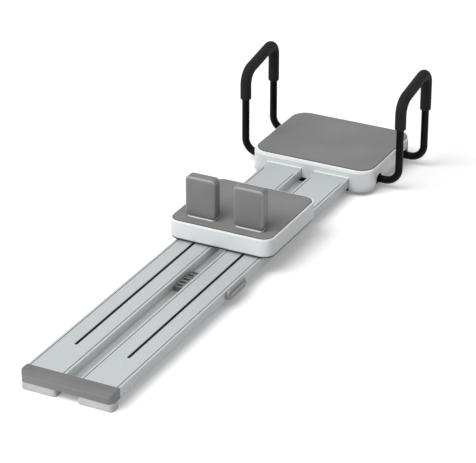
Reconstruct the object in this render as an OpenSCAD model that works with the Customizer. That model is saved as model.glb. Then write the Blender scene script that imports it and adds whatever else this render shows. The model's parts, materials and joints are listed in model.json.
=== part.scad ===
// Pilates reformer board: two slotted rails, a rolling carriage with shoulder rests,
// a fixed platform with two hand loops, and a hinge that folds the front half under.
// X runs across the board, +Y along the rails towards the platform, +Z is up.
// The origin is on the floor, under the middle of the whole board.

/* [Rails] */
// Width of each rail
rail_w = 127; // [110:1:140]
// Height of each rail
rail_h = 32; // [30:1:36]
// Open gap between the two rails
rail_gap = 46; // [40:1:60]
// Height of the rails' underside above the floor
rail_z = 26; // [25:1:34]
// Length of the rails from the front cap to the folding seam
front_rail_l = 696; // [640:1:800]
// Length of the rails from the folding seam to the platform
back_rail_l = 832; // [810:1:950]
// Thickness of the rail's side walls and floor
rail_wall = 3; // [2.5:0.1:3.5]
// Thickness of the rail's top wall
rail_top = 3.5; // [3:0.1:4]
// Width of the slot in the top of each rail
slot_w = 10; // [7:0.5:12]
// Distance from the front cap to the start of the slot
slot_front = 157; // [120:1:200]
// Distance from the end of the slot to the platform
slot_back = 190; // [150:1:230]
// Width of the fine grooves near the rail's edges
groove_w = 2.4; // [1.5:0.1:3]
// Depth of the fine grooves
groove_d = 1.6; // [0.8:0.1:2]
// Distance from the rail's edge to the middle of a groove
groove_in = 9.2; // [7:0.1:12]
// Distance from the end of a groove to the platform
groove_back = 44; // [20:1:80]

/* [Front cap] */
// Length of the cap in front of the rails
cap_l = 45; // [40:1:60]
// Radius of the cap's rounded upper front edge
cap_round = 18; // [8:1:21]
// Width of each white foot
foot_w = 115; // [90:1:125]
// Depth of each white foot
foot_l = 41; // [36:1:41]

/* [Fold] */
// Height of the hinge axis above the floor
fold_z = 12; // [11:0.5:12.5]
// Radius of the hinge pin
pin_r = 4; // [3:0.5:5]
// Outer radius of the hinge knuckles
knuckle_r = 7; // [6:0.5:7]
// Length of each hinge leaf along the board
leaf_l = 62; // [55:1:68]
// Length of the capsule-shaped plate over the seam
side_plate_l = 118; // [104:1:140]
// Height of the capsule-shaped plate
side_plate_h = 33; // [29:1:36]
// Thickness of the capsule-shaped plate
side_plate_t = 9; // [7:0.5:12]

/* [Carriage] */
// Width of the carriage
carriage_w = 362; // [340:1:380]
// Length of the carriage
carriage_l = 348; // [330:1:380]
// Height of the white carriage shell
carriage_h = 56; // [54:1:70]
// Corner radius of the carriage
carriage_r = 40; // [30:1:50]
// Middle of the carriage, measured from the front cap along the rails
carriage_at = 1047; // [950:1:1100]
// Distance between the front and rear rollers
roller_span = 230; // [200:1:250]
// Radius of a roller
roller_r = 12.4; // [11:0.1:12.6]
// Width of a roller
roller_w = 10; // [8:0.5:12]
// Radius of a roller's axle
axle_r = 3; // [2.5:0.1:4]

/* [Shoulder rests] */
// Width of a shoulder rest
rest_w = 106; // [90:1:116]
// Depth of a shoulder rest
rest_d = 45; // [42:1:55]
// Height of a shoulder rest's padded block
rest_h = 136; // [110:1:150]
// Radius of the padded block's edges
rest_r = 13; // [9:0.5:14]
// Distance between the middles of the two rests
rest_span = 168; // [150:1:180]
// Distance from the carriage's front to the rests
rest_in = 41; // [30:1:50]
// Radius of the two posts that hold a rest
post_r = 6; // [5:0.5:7]

/* [Platform] */
// Width of the platform
platform_w = 440; // [430:1:470]
// Length of the platform
platform_l = 384; // [370:1:420]
// Height of the platform's rim above the floor
platform_top = 86; // [82:1:100]
// Height of the platform shell's lower edge above the floor
platform_z = 14; // [13:1:15]
// Corner radius of the platform
platform_r = 56; // [40:1:60]
// Depth of the shallow recess in the platform's sides
recess_d = 5; // [4:0.5:8]

/* [Handles] */
// Outer diameter of the steel tube
tube_d = 25.4; // [22:0.1:27]
// Wall of the steel tube
tube_wall = 1.6; // [1.2:0.1:2.5]
// Outer diameter of the foam grip
grip_d = 37.5; // [33:0.5:42]
// Distance between the two handles' planes
handle_span = 571; // [560:1:620]
// Distance from the platform's front to a handle's front leg
leg_front = 105; // [95:1:115]
// Distance between a handle's two legs
leg_span = 215; // [200:1:225]
// Height of the front upper corner
corner_front = 318; // [290:1:350]
// Height of the rear upper corner
corner_back = 356; // [345:1:400]
// Height of the handle tube where it enters the platform
handle_z = 31; // [30:1:33]
// Height where the foam ends on the front leg
grip_low_front = 224; // [200:1:230]
// Height where the foam ends on the rear leg
grip_low_back = 214; // [200:1:230]

/* [Hidden] */
$fn = 64;
// small overlap that makes a cut pass through a face
cut = 1;
// running clearance between a pin and its bore
run_gap = 0.05;
// clearance between parts that move past each other
free_gap = 0.3;
// how far the rails reach into the platform
rail_tail = 70;
deck_w = 2 * rail_w + rail_gap;
rail_x = (rail_gap + rail_w) / 2;
deck_z = rail_z + rail_h;
total_l = cap_l + front_rail_l + back_rail_l + platform_l;
y_cap = -total_l / 2;
y_rail = y_cap + cap_l;
y_seam = y_rail + front_rail_l;
y_plat = y_seam + back_rail_l;
y_slot = [y_rail + slot_front, y_plat - slot_back];
// channel inside each rail that the rollers run in
channel_w = 44;
rib_t = 2.5;
// rubber stops in the channels
stop_l = 16;
// plugs and screws that hold the cap
cap_over = 0.8;
cap_corner = 24;
plug_l = 30;
plug_gap = 0.2;
cap_screw_dx = 42;
cap_screw_y = 18;
cap_screw_l = 12;
// feet and their rubber soles
sole_h = 3;
sole_in = 1;
sole_edge = 7;
foot_in = 2;
foot_x = deck_w / 2 - foot_w / 2 - 1;
foot_y = y_cap + foot_in + foot_l / 2;
foot_screw_dx = 40;
foot_screw_low = 16;
foot_screw_l = 26;
// hinge leaves
leaf_t = 4;
leaf_gap = 3;
leaf_w = 2 * rail_w + rail_gap - 30;
web_l = 14;
back_knuckles = [-108, -60, 0, 60, 108];
front_knuckles = [-84, -30, 30, 84];
knuckle_w = 23;
pin_l = 2 * back_knuckles[4] + knuckle_w + 2;
leaf_screw_dx = 34;
leaf_screw_y = [22, 48];
housing_h = 16;
housing_t = 5;
front_housing_l = 64;
back_housing_l = 24;
pocket_l = 13;
pocket_step = 21;
pocket_w = 21;
middle_foot_w = 60;
middle_foot_l = 40;
middle_foot_in = 8;
// side plate and its screws, whose heads sit in the rail's side chamber
side_plate_z = rail_z + rail_h / 2 - 0.5;
side_screw_y = [12, 40];
side_screw_in = 6;
boss_r = 7;
rib_band = 10;
rib_rise = 2.5;
screw_r = 2;
screw_head_r = 4;
screw_head_h = 2.4;
// carriage stack
base_gap = 3;
base_h = 7;
base_in = 3;
floor_t = 4;
y_car = y_rail + carriage_at;
z_base = deck_z + base_gap;
z_shell = z_base + base_h;
z_car = z_shell + carriage_h;
wall = 3.5;
mat_t = 3;
mat_sink = 1.5;
mat_in = 6;
z_mat = z_car - mat_sink + mat_t;
flange_w = 56;
flange_l = 46;
flange_t = base_h - floor_t;
plate_t = 5;
plate_l = 22;
axle_z = rail_z + rail_wall + roller_r + 0.1;
roller_off = 4;
axle_half = roller_off + roller_w + 0.5;
axle_head = 1.8;
bracket_screw = [16, 17];
post_hole_r = post_r + 0.3;
// shoulder rests
y_rest = y_car - carriage_l / 2 + rest_in + rest_d / 2;
rest_plate_t = 3.5;
post_gap = 54;
post_down = 48;
post_up = 70;
rest_floor = 6;
carriage_screw_l = 18;
// platform stack
y_pmid = y_plat + platform_l / 2;
pmat_front = 18;
pmat_back = 5;
pmat_side = 5;
pmat_rise = 2;
pbase_t = 4;
pbase_z = platform_z - 2;
pfoot_r = 18;
z_inside = pbase_z + pbase_t;
platform_screw_l = 16;
pscrew_in = 34;
pscrew_off = 10;
recess_front = 62;
recess_back = 44;
recess_mid = (recess_front - recess_back) / 2;
recess_l = platform_l - recess_front - recess_back;
rim_h = 10;
arch_w = 44;
arch_r = 18;
arch_z = handle_z + tube_d / 2 + 4;
lip = [5, 5];
clamp_y = [12, 66];
clamp_screw_y = 45;
// handles
handle_x = handle_span / 2;
y_leg = [y_plat + leg_front, y_plat + leg_front + leg_span];
low_bend = 48;
front_bend = 52;
back_bend = 36;
bar_tilt = atan((corner_back - corner_front) / leg_span);
bar_l = leg_span / cos(bar_tilt);
front_turn = 90 - bar_tilt;
back_turn = 90 + bar_tilt;
front_t = front_bend * tan(front_turn / 2);
back_t = back_bend * tan(back_turn / 2);
socket_x = [70, platform_w / 2 - 24];
socket_w = 34;
socket_floor = 3;
socket_bar = [20, 8];
tube_in = socket_x[0] + socket_floor + free_gap;
// a bent tube is drawn slightly thinner than the straight tube it runs into
bend_thin = 0.15;
bend_over = 0.5;

// four places in a rectangle
module at_corners(dx, dy) {
    for (sx = [-1, 1], sy = [-1, 1]) translate([sx * dx, sy * dy, 0]) children();
}

// flat outline with round corners
module round_plan(w, l, r) {
    square([w - 2 * r, l], center = true);
    square([w, l - 2 * r], center = true);
    at_corners(w / 2 - r, l / 2 - r) circle(r);
}

// section through the edge of a slab, with a rounded upper and lower corner
module edge_section(r, h, top_r, low_r) {
    translate([0, low_r]) square([r, h - top_r - low_r]);
    square([r - low_r, h]);
    square([r - top_r, h]);
    translate([r - top_r, h - top_r]) circle(top_r, $fn = 32);
    translate([r - low_r, low_r]) circle(low_r, $fn = 32);
}

// slab with round corners and rounded upper and lower edges, standing on z = 0
module slab(w, l, h, r, top_r, low_r) {
    rotate([90, 0, 0]) linear_extrude(l - 2 * r, center = true) slab_side(w, h, top_r, low_r);
    rotate([90, 0, 90]) linear_extrude(w - 2 * r, center = true) slab_side(l, h, top_r, low_r);
    for (i = [0, 1], j = [0, 1]) mirror([i, 0, 0]) mirror([0, j, 0])
        translate([w / 2 - r, l / 2 - r, 0]) rotate_extrude(angle = 90) edge_section(r, h, top_r, low_r);
}

module slab_side(w, h, top_r, low_r) {
    for (s = [0, 1]) mirror([s, 0]) edge_section(w / 2, h, top_r, low_r);
}

// screw along +Z with its head below z = 0 sunk upwards by its own height
module screw(l) {
    difference() {
        union() {
            cylinder(r = screw_head_r, h = screw_head_h);
            cylinder(r = screw_r, h = l);
        }
        translate([0, 0, -cut]) cylinder(r = 1.6, h = cut + 1.4, $fn = 6);
    }
}

// hole for such a screw
module screw_hole(l) {
    translate([0, 0, -cut]) cylinder(r = screw_head_r + 0.2, h = cut + screw_head_h);
    translate([0, 0, -cut]) cylinder(r = screw_r + 0.1, h = l + cut + 0.5);
}

// hollow slotted rail from y0 to y1, centred on x = 0
module rail(y0, y1, groove_end, slot0, slot1) {
    difference() {
        translate([0, y1, rail_z]) rotate([90, 0, 0]) linear_extrude(y1 - y0) difference() {
            translate([0, rail_h / 2]) round_plan(rail_w, rail_h, 1.5);
            rail_hollows();
        }
        hull_slot(slot0, slot1);
        for (s = [-1, 1]) translate([s * (rail_w / 2 - groove_in) - groove_w / 2,
            y0 - cut, deck_z - groove_d]) cube([groove_w, groove_end - y0 + cut, groove_d + cut]);
    }
}

// the three chambers of a rail's section
module rail_hollows() {
    inner_h = rail_h - rail_wall - rail_top;
    side_w = (rail_w - channel_w) / 2 - rib_t - rail_wall;
    translate([-channel_w / 2, rail_wall]) square([channel_w, inner_h]);
    for (s = [-1, 1]) translate([s * (channel_w / 2 + rib_t + side_w / 2), rail_wall + inner_h / 2])
        square([side_w, inner_h], center = true);
}

// slot with round ends; an end that lies past the rail leaves it open
module hull_slot(slot0, slot1) {
    z0 = deck_z - rail_top - cut;
    translate([-slot_w / 2, slot0 + slot_w / 2, z0])
        cube([slot_w, slot1 - slot0 - slot_w, rail_top + 2 * cut]);
    for (y = [slot0 + slot_w / 2, slot1 - slot_w / 2])
        translate([0, y, z0]) cylinder(d = slot_w, h = rail_top + 2 * cut);
}

module front_rail(s) {
    color("silver") difference() {
        translate([s * rail_x, 0, 0]) rail(y_rail, y_seam - free_gap / 2, y_seam, y_slot[0],
            y_seam + 2 * slot_w);
        for (x = [-1, 1]) translate([s * rail_x + x * cap_screw_dx, y_rail + cap_screw_y, rail_z])
            screw_hole(rail_wall + 4);
        leaf_screw_places(-1) translate([0, 0, leaf_t - screw_head_h])
            cylinder(r = screw_r + 0.1, h = rail_wall + 4);
    }
}

module back_rail(s) {
    color("silver") difference() {
        translate([s * rail_x, 0, 0]) rail(y_seam + free_gap / 2, y_plat + rail_tail,
            y_plat - groove_back, y_seam - 2 * slot_w, y_slot[1]);
        leaf_screw_places(1) translate([0, 0, leaf_t - screw_head_h])
            cylinder(r = screw_r + 0.1, h = rail_wall + 4);
        if (s > 0) side_screw_places() cylinder(r = screw_r + 0.1, h = screw_head_h + rail_wall + cut);
        clamp_screw_places(s) cylinder(r = screw_r + 0.1, h = rail_z + rail_wall);
    }
}

// cap over the front ends of both rails, with plugs that fill the rails' side chambers
module front_cap() {
    side_w = (rail_w - channel_w) / 2 - rib_t - rail_wall - 2 * plug_gap;
    inner_h = rail_h - rail_wall - rail_top - 2 * plug_gap;
    color("dimgray") difference() {
        union() {
            intersection() {
                translate([0, y_cap + cap_l / 2, rail_z]) linear_extrude(rail_h + cap_over)
                    cap_plan();
                translate([0, y_cap, rail_z]) rotate([90, 0, 90])
                    linear_extrude(deck_w + 2, center = true) cap_side();
            }
            for (s = [-1, 1], t = [-1, 1])
                translate([s * rail_x + t * (channel_w / 2 + rib_t + side_w / 2 + plug_gap) - side_w / 2,
                    y_rail - cut, rail_z + rail_wall + plug_gap]) cube([side_w, plug_l + cut, inner_h]);
        }
        for (s = [-1, 1], x = [-1, 1])
            translate([s * rail_x + x * cap_screw_dx, y_rail + cap_screw_y, rail_z])
                screw_hole(cap_screw_l);
        for (s = [-1, 1]) foot_screw_places(s) screw_hole(foot_screw_l);
    }
}

// outline of the cap from above: round at the front, square against the rails
module cap_plan() {
    translate([0, cap_corner / 2]) square([deck_w + 2 * cap_over, cap_l - cap_corner], center = true);
    round_plan(deck_w + 2 * cap_over, cap_l, cap_corner);
}

// side view of the cap, with its rounded upper front edge
module cap_side() {
    h = rail_h + cap_over;
    translate([cap_round, 0]) square([cap_l - cap_round, h]);
    square([cap_round + cut, h - cap_round]);
    translate([cap_round, h - cap_round]) circle(cap_round);
}

// places of the screws that hold a front foot under the cap
module foot_screw_places(s) {
    for (x = [-1, 1]) translate([s * foot_x + x * foot_screw_dx, foot_y, rail_z - foot_screw_low])
        children();
}

// outline of a foot's rubber sole
module sole_plan(gap) {
    round_plan(foot_w - 2 * sole_edge + 2 * gap, foot_l - 2 * sole_edge + 2 * gap, 6);
}

// white foot with a pocket for its sole and two screw wells
module front_foot(s) {
    color("whitesmoke") difference() {
        translate([s * foot_x, foot_y, sole_in]) slab(foot_w, foot_l, rail_z - sole_in, 12, 0.6, 3);
        translate([s * foot_x, foot_y, sole_in - cut])
            linear_extrude(sole_h - sole_in + cut) sole_plan(plug_gap);
        foot_screw_places(s) screw_hole(foot_screw_low + cut);
        foot_screw_places(s) translate([0, 0, foot_screw_low - rail_z])
            cylinder(r = screw_head_r + 0.2, h = rail_z - foot_screw_low + screw_head_h);
    }
}

module front_foot_pads() {
    color("black") for (s = [-1, 1]) translate([s * foot_x, foot_y, 0])
        linear_extrude(sole_h) sole_plan(0);
}

// places of the screws that hold a hinge leaf to the rails; d is 1 behind the seam, -1 in front
module leaf_screw_places(d) {
    for (s = [-1, 1], x = [-1, 1], y = leaf_screw_y)
        translate([s * rail_x + x * leaf_screw_dx, y_seam + d * y, rail_z - leaf_t]) children();
}

// hinge leaf under the rails: a cross plate, a housing in the gap and knuckles round the pin
module hinge_leaf(d, knuckles, housing_l, pockets) {
    y_mid = y_seam + d * (leaf_gap + leaf_l / 2);
    housing_w = rail_gap - 2 * free_gap;
    housing_z = rail_z - leaf_t;
    color("gray") difference() {
        union() {
            translate([0, y_mid, rail_z - leaf_t / 2]) cube([leaf_w, leaf_l, leaf_t], center = true);
            translate([0, y_seam + d * (leaf_gap + housing_l / 2), housing_z + (leaf_t + housing_h) / 2])
                cube([housing_w, housing_l, leaf_t + housing_h], center = true);
            for (x = knuckles) translate([x, y_seam, 0]) {
                translate([0, 0, fold_z]) rotate([0, 90, 0])
                    cylinder(r = knuckle_r, h = knuckle_w, center = true);
                translate([-knuckle_w / 2, min(0, d * web_l), fold_z])
                    cube([knuckle_w, web_l, housing_z - fold_z + cut]);
            }
        }
        for (i = [0 : pockets - 1])
            translate([-housing_w / 2 + housing_t, y_seam + d * (leaf_gap + housing_t + pocket_l / 2
                + i * pocket_step) - pocket_l / 2, housing_z + leaf_t])
                cube([pocket_w, pocket_l, housing_h + cut]);
        translate([0, y_seam, fold_z]) rotate([0, 90, 0])
            cylinder(r = pin_r + run_gap, h = pin_l + 4, center = true);
        leaf_screw_places(d) screw_hole(leaf_t + 1);
    }
}

module hinge_pin() {
    color("silver") translate([0, y_seam, fold_z]) rotate([0, 90, 0])
        cylinder(r = pin_r, h = pin_l, center = true);
}

module middle_foot(s) {
    y = y_seam + leaf_gap + leaf_l + middle_foot_in + middle_foot_l / 2;
    color("dimgray") translate([s * rail_x, y, 0])
        slab(middle_foot_w, middle_foot_l, rail_z, 8, 0.4, 2);
}

// places of the side plate's screws, from inside the right rail outwards
module side_screw_places() {
    for (y = side_screw_y) translate([deck_w / 2 - rail_wall - screw_head_h, y_seam + y, side_plate_z])
        rotate([0, 90, 0]) children();
}

// capsule-shaped plate over the seam on the right side, fixed to the back rail, free of the front one
module side_plate() {
    half = side_plate_l / 2 - side_plate_h / 2;
    color("gray") difference() {
        union() {
            translate([deck_w / 2 + free_gap, y_seam, side_plate_z]) rotate([0, 90, 0])
                capsule(half, side_plate_h / 2, side_plate_t);
            translate([deck_w / 2 + free_gap + side_plate_t - cut, y_seam, side_plate_z])
                rotate([0, 90, 0]) capsule(half, rib_band / 2, rib_rise + cut);
            for (y = side_screw_y) translate([deck_w / 2, y_seam + y, side_plate_z])
                rotate([0, 90, 0]) cylinder(r = boss_r, h = free_gap + cut);
        }
        side_screw_places()
            cylinder(r = screw_r + 0.1, h = screw_head_h + rail_wall + free_gap + side_screw_in + 0.5);
    }
}

// plate with round ends along Y, rising along the turned Z
module capsule(half, r, t) {
    translate([-r, -half, 0]) cube([2 * r, 2 * half, t]);
    for (e = [-1, 1]) translate([0, e * half, 0]) cylinder(r = r, h = t);
}

// rubber stop in the roller channel, at the end of a slot; d is 1 at the platform's end
module rail_stop(s, d) {
    y0 = (d > 0) ? y_slot[1] : y_slot[0] - stop_l;
    color("black") translate([s * rail_x - channel_w / 2 + plug_gap, y0, rail_z + rail_wall])
        cube([channel_w - 2 * plug_gap, stop_l, rail_h - rail_wall - rail_top - plug_gap]);
}

// screws of the front half: cap, feet and hinge leaf
module front_screws() {
    color("darkgray") {
        for (s = [-1, 1], x = [-1, 1])
            translate([s * rail_x + x * cap_screw_dx, y_rail + cap_screw_y, rail_z]) screw(cap_screw_l);
        for (s = [-1, 1]) foot_screw_places(s) screw(foot_screw_l);
        leaf_screw_places(-1) screw(leaf_t + rail_wall);
    }
}

// screws of the back half: hinge leaf and side plate
module back_screws() {
    color("darkgray") {
        leaf_screw_places(1) screw(leaf_t + rail_wall);
        side_screw_places() screw(screw_head_h + rail_wall + free_gap + side_screw_in);
    }
}

// white platform shell, open below, with the rails' openings and recessed sides
module platform_shell() {
    h = platform_top - platform_z;
    color("whitesmoke") difference() {
        union() {
            translate([0, y_pmid, platform_z]) difference() {
                slab(platform_w, platform_l, h, platform_r, 7, 1.5);
                translate([0, 0, -cut]) linear_extrude(h - wall - mat_sink + cut)
                    round_plan(platform_w - 2 * wall, platform_l - 2 * wall, platform_r - wall);
            }
            for (s = [-1, 1]) recess_wall(s);
            for (s = [-1, 1]) translate([s * rail_x - rail_w / 2, y_plat - lip[0], deck_z + free_gap])
                cube([rail_w, lip[0] + wall, lip[1]]);
            platform_screw_places() translate([0, 0, pbase_t])
                cylinder(r = 6, h = platform_top - mat_sink - pbase_z - pbase_t - wall / 2);
        }
        for (s = [-1, 1]) recess_cut(s);
        platform_mat_place() linear_extrude(mat_sink + cut) platform_mat_plan(0.3);
        for (s = [-1, 1]) translate([s * rail_x - rail_w / 2 - free_gap, y_plat - cut, platform_z - cut])
            cube([rail_w + 2 * free_gap, wall + 2 * cut, deck_z - platform_z + cut + free_gap]);
        translate([-rail_gap / 2 - cut, y_plat - cut, platform_z - cut])
            cube([rail_gap + 2 * cut, wall + 2 * cut, rail_z - platform_z + cut + 3]);
        platform_screw_places() screw_hole(platform_screw_l);
    }
}

// inner wall that closes the recess in the platform's side
module recess_wall(s) {
    t = recess_d + 0.5;
    translate([s * (platform_w / 2 - wall + 0.5 - t / 2) - t / 2,
        y_pmid + recess_mid - recess_l / 2 - wall, platform_z])
        cube([t, recess_l + 2 * wall, platform_top - platform_z - mat_sink - 1]);
}

// the recess itself, below the rim, and an arch over each tube of the handle
module recess_cut(s) {
    translate([s * platform_w / 2, y_pmid + recess_mid, platform_z - cut])
        linear_extrude(platform_top - rim_h - platform_z + cut)
            round_plan(2 * recess_d, recess_l, recess_d - 1);
    for (y = y_leg) translate([s * platform_w / 2, y, platform_z - cut])
        rotate([90, 0, 90]) linear_extrude(60, center = true) arch_plan(arch_z - platform_z + cut);
}

module arch_plan(h) {
    translate([-arch_w / 2, 0]) square([arch_w, h - arch_r]);
    translate([-arch_w / 2 + arch_r, 0]) square([arch_w - 2 * arch_r, h]);
    for (s = [-1, 1]) translate([s * (arch_w / 2 - arch_r), h - arch_r]) circle(arch_r);
}

module platform_mat_place() {
    translate([0, y_pmid + (pmat_front - pmat_back) / 2, platform_top - mat_sink]) children();
}

module platform_mat_plan(gap) {
    round_plan(platform_w - 2 * pmat_side + 2 * gap, platform_l - pmat_front - pmat_back + 2 * gap,
        platform_r - pmat_side + gap);
}

module platform_mat() {
    color("gray") platform_mat_place()
        slab(platform_w - 2 * pmat_side, platform_l - pmat_front - pmat_back, mat_sink + pmat_rise,
            platform_r - pmat_side, 1, 0.2);
}

module platform_screw_places() {
    for (s = [-1, 1], y = [y_leg[0] - socket_w / 2 - pscrew_off, y_leg[1] + socket_w / 2 + pscrew_off])
        translate([s * (platform_w / 2 - pscrew_in), y, pbase_z]) children();
}

// floor plate of the platform
module platform_base() {
    color("dimgray") difference() {
        translate([0, y_pmid, pbase_z]) linear_extrude(pbase_t) difference() {
            round_plan(platform_w - 2 * wall - 1, platform_l - 2 * wall - 1, platform_r - wall);
            for (s = [-1, 1]) translate([s * platform_w / 2, recess_mid])
                square([2 * (recess_d + wall + 1.5), recess_l + 2 * wall + 2], center = true);
        }
        platform_screw_places() screw_hole(pbase_t);
    }
}

module platform_feet() {
    color("black") for (s = [-1, 1], y = [-1, 1])
        translate([s * (platform_w / 2 - 62), y_pmid + y * (platform_l / 2 - 58), 0])
            cylinder(r = pfoot_r, h = pbase_z);
}

// block that carries the rails inside the platform
module rail_clamp() {
    color("dimgray") difference() {
        translate([-deck_w / 2, y_plat + clamp_y[0], z_inside])
            cube([deck_w, clamp_y[1] - clamp_y[0], rail_z - z_inside]);
        for (s = [-1, 1]) clamp_screw_places(s) screw_hole(rail_z - z_inside);
    }
}

module clamp_screw_places(s) {
    for (x = [-1, 1]) translate([s * rail_x + x * leaf_screw_dx, y_plat + clamp_screw_y, z_inside])
        children();
}

// guide block for the two tube ends of a handle
module handle_socket(s) {
    color("dimgray") difference() {
        union() {
            for (y = y_leg) translate([min(s * socket_x[0], s * socket_x[1]), y - socket_w / 2, z_inside])
                cube([socket_x[1] - socket_x[0], socket_w, handle_z + tube_d / 2 + 4 - z_inside]);
            translate([min(s * socket_x[0], s * (socket_x[0] + socket_bar[0])), y_leg[0], z_inside])
                cube([socket_bar[0], leg_span, socket_bar[1]]);
        }
        for (y = y_leg) translate([0, y, handle_z]) rotate([0, s * 90, 0])
            translate([0, 0, socket_x[0] + socket_floor])
                cylinder(r = tube_d / 2 + run_gap, h = socket_x[1] - socket_x[0]);
    }
}

// screws of the platform's floor plate and of the rail block
module platform_screws() {
    color("darkgray") {
        platform_screw_places() screw(platform_screw_l - 2);
        for (s = [-1, 1]) clamp_screw_places(s) screw(rail_z - z_inside + rail_wall);
    }
}

// section of the tube or of the foam round it
module ring(r_out, r_in) {
    difference() {
        circle(r_out, $fn = 48);
        circle(r_in, $fn = 48);
    }
}

// a bend of radius r that turns by a, starting at the angle a0
module bend(r, a0, a, r_out, r_in) {
    rotate([0, 0, a0]) rotate_extrude(angle = a, $fn = 96) translate([r, 0]) ring(r_out, r_in);
}

// brings a shape drawn in XY into the plane of Y and Z
module turned() {
    rotate([90, 0, 90]) children();
}

// the upper loop of a handle: two legs, two bends and the sloping bar between them
module loop_top(r_out, r_in, low_front, low_back) {
    z_front = corner_front - front_t;
    z_back = corner_back - back_t;
    translate([0, y_leg[0], low_front]) linear_extrude(z_front - low_front + bend_over) ring(r_out, r_in);
    translate([0, y_leg[1], low_back]) linear_extrude(z_back - low_back + bend_over) ring(r_out, r_in);
    translate([0, y_leg[0] + front_bend, z_front]) turned()
        bend(front_bend, 180 - front_turn, front_turn, r_out - bend_thin, r_in + bend_thin);
    translate([0, y_leg[1] - back_bend, z_back]) turned()
        bend(back_bend, 0, back_turn, r_out - bend_thin, r_in + bend_thin);
    translate([0, y_leg[0], corner_front]) rotate([bar_tilt - 90, 0, 0])
        translate([0, 0, front_t - bend_over])
            linear_extrude(bar_l - front_t - back_t + 2 * bend_over) ring(r_out, r_in);
}

// lower bends and the ends that go into the platform
module loop_feet(s, r_out, r_in) {
    for (y = y_leg) {
        translate([s * (handle_x - low_bend), y, handle_z + low_bend]) rotate([90, 0, 0])
            mirror([(s < 0) ? 1 : 0, 0, 0]) bend(low_bend, 270, 90, r_out, r_in);
        translate([s * tube_in, y, handle_z]) rotate([0, s * 90, 0])
            linear_extrude(handle_x - low_bend - tube_in) ring(r_out, r_in);
    }
}

module handle_tube(s) {
    r_out = tube_d / 2;
    low = handle_z + low_bend;
    color("black") {
        translate([s * handle_x, 0, 0]) loop_top(r_out, r_out - tube_wall, low, low);
        loop_feet(s, r_out, r_out - tube_wall);
    }
}

module handle_grip(s) {
    color("black") translate([s * handle_x, 0, 0])
        loop_top(grip_d / 2, tube_d / 2 + run_gap, grip_low_front, grip_low_back);
}

// white carriage shell, open below
module carriage_shell() {
    color("whitesmoke") difference() {
        union() {
            translate([0, y_car, z_shell]) difference() {
                slab(carriage_w, carriage_l, carriage_h, carriage_r, 5, 1.5);
                translate([0, 0, -cut]) linear_extrude(carriage_h - wall - mat_sink + cut)
                    round_plan(carriage_w - 2 * wall, carriage_l - 2 * wall, carriage_r - wall);
            }
            carriage_screw_places() translate([0, 0, floor_t])
                cylinder(r = 6, h = carriage_h - mat_sink - wall + 1);
        }
        translate([0, y_car, z_car - mat_sink]) linear_extrude(mat_sink + cut)
            carriage_mat_plan(0.3);
        rest_post_holes();
        carriage_screw_places() screw_hole(carriage_screw_l);
    }
}

module carriage_mat_plan(gap) {
    round_plan(carriage_w - 2 * mat_in + 2 * gap, carriage_l - 2 * mat_in + 2 * gap,
        carriage_r - mat_in + gap);
}

module carriage_mat() {
    color("gray") difference() {
        translate([0, y_car, z_car - mat_sink])
            slab(carriage_w - 2 * mat_in, carriage_l - 2 * mat_in, mat_t, carriage_r - mat_in, 1, 0.2);
        rest_post_holes();
    }
}

// lower tray of the carriage, with a lip round it
module carriage_base() {
    w = carriage_w - 2 * base_in;
    l = carriage_l - 2 * base_in;
    color("whitesmoke") difference() {
        translate([0, y_car, z_base]) linear_extrude(base_h) round_plan(w, l, carriage_r - base_in);
        translate([0, y_car, z_base - cut]) linear_extrude(base_h - floor_t + cut)
            round_plan(w - 2 * wall, l - 2 * wall, carriage_r - base_in - wall);
        carriage_screw_places() screw_hole(floor_t);
        for (i = [0 : 3]) bracket_screw_places(i) cylinder(r = screw_r + 0.1, h = base_h + cut);
    }
}

module carriage_screw_places() {
    for (s = [-1, 1], y = [-1, 1]) translate([s * (carriage_w / 2 - 22), y_car + y * (carriage_l / 2 - 42),
        z_shell - floor_t]) children();
}

module carriage_screws() {
    color("darkgray") {
        carriage_screw_places() screw(carriage_screw_l - 2);
        for (i = [0 : 3]) bracket_screw_places(i) screw(flange_t + floor_t);
    }
}

// the four roller places: 0 and 1 in front, 2 and 3 behind, left then right
module bracket_place(i) {
    translate([((i % 2) * 2 - 1) * rail_x, y_car + (i < 2 ? -1 : 1) * roller_span / 2, 0]) children();
}

module bracket_screw_places(i) {
    bracket_place(i) for (x = [-1, 1], y = [-1, 1])
        translate([x * bracket_screw[0], y * bracket_screw[1], z_base]) children();
}

// steel bracket: a flange under the carriage and a plate down through the slot
module bracket(i) {
    color("lightgray") difference() {
        bracket_place(i) {
            translate([-flange_w / 2, -flange_l / 2, z_base]) cube([flange_w, flange_l, flange_t]);
            translate([-plate_t / 2, -plate_l / 2, axle_z]) cube([plate_t, plate_l, z_base + cut - axle_z]);
            translate([0, 0, axle_z]) rotate([0, 90, 0])
                cylinder(r = axle_r + 5, h = plate_t, center = true);
        }
        bracket_place(i) translate([0, 0, axle_z]) rotate([0, 90, 0])
            cylinder(r = axle_r + 0.02, h = plate_t + 2 * cut, center = true);
        bracket_screw_places(i) screw_hole(flange_t);
    }
}

module axle(i) {
    color("silver") bracket_place(i) translate([0, 0, axle_z]) rotate([0, 90, 0]) {
        cylinder(r = axle_r, h = 2 * axle_half, center = true);
        for (e = [-1, 1]) translate([0, 0, e * (axle_half + axle_head / 2)])
            cylinder(r = axle_r + 2, h = axle_head, center = true);
    }
}

// pair of rollers on one axle, with a shallow tread groove
module roller(i) {
    color("dimgray") bracket_place(i) for (s = [-1, 1])
        translate([s * (roller_off + roller_w / 2), 0, axle_z]) rotate([0, 90, 0])
            rotate_extrude() difference() {
                translate([axle_r + run_gap, -roller_w / 2])
                    square([roller_r - axle_r - run_gap, roller_w]);
                translate([roller_r, 0]) circle(1.2, $fn = 24);
            }
}

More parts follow.
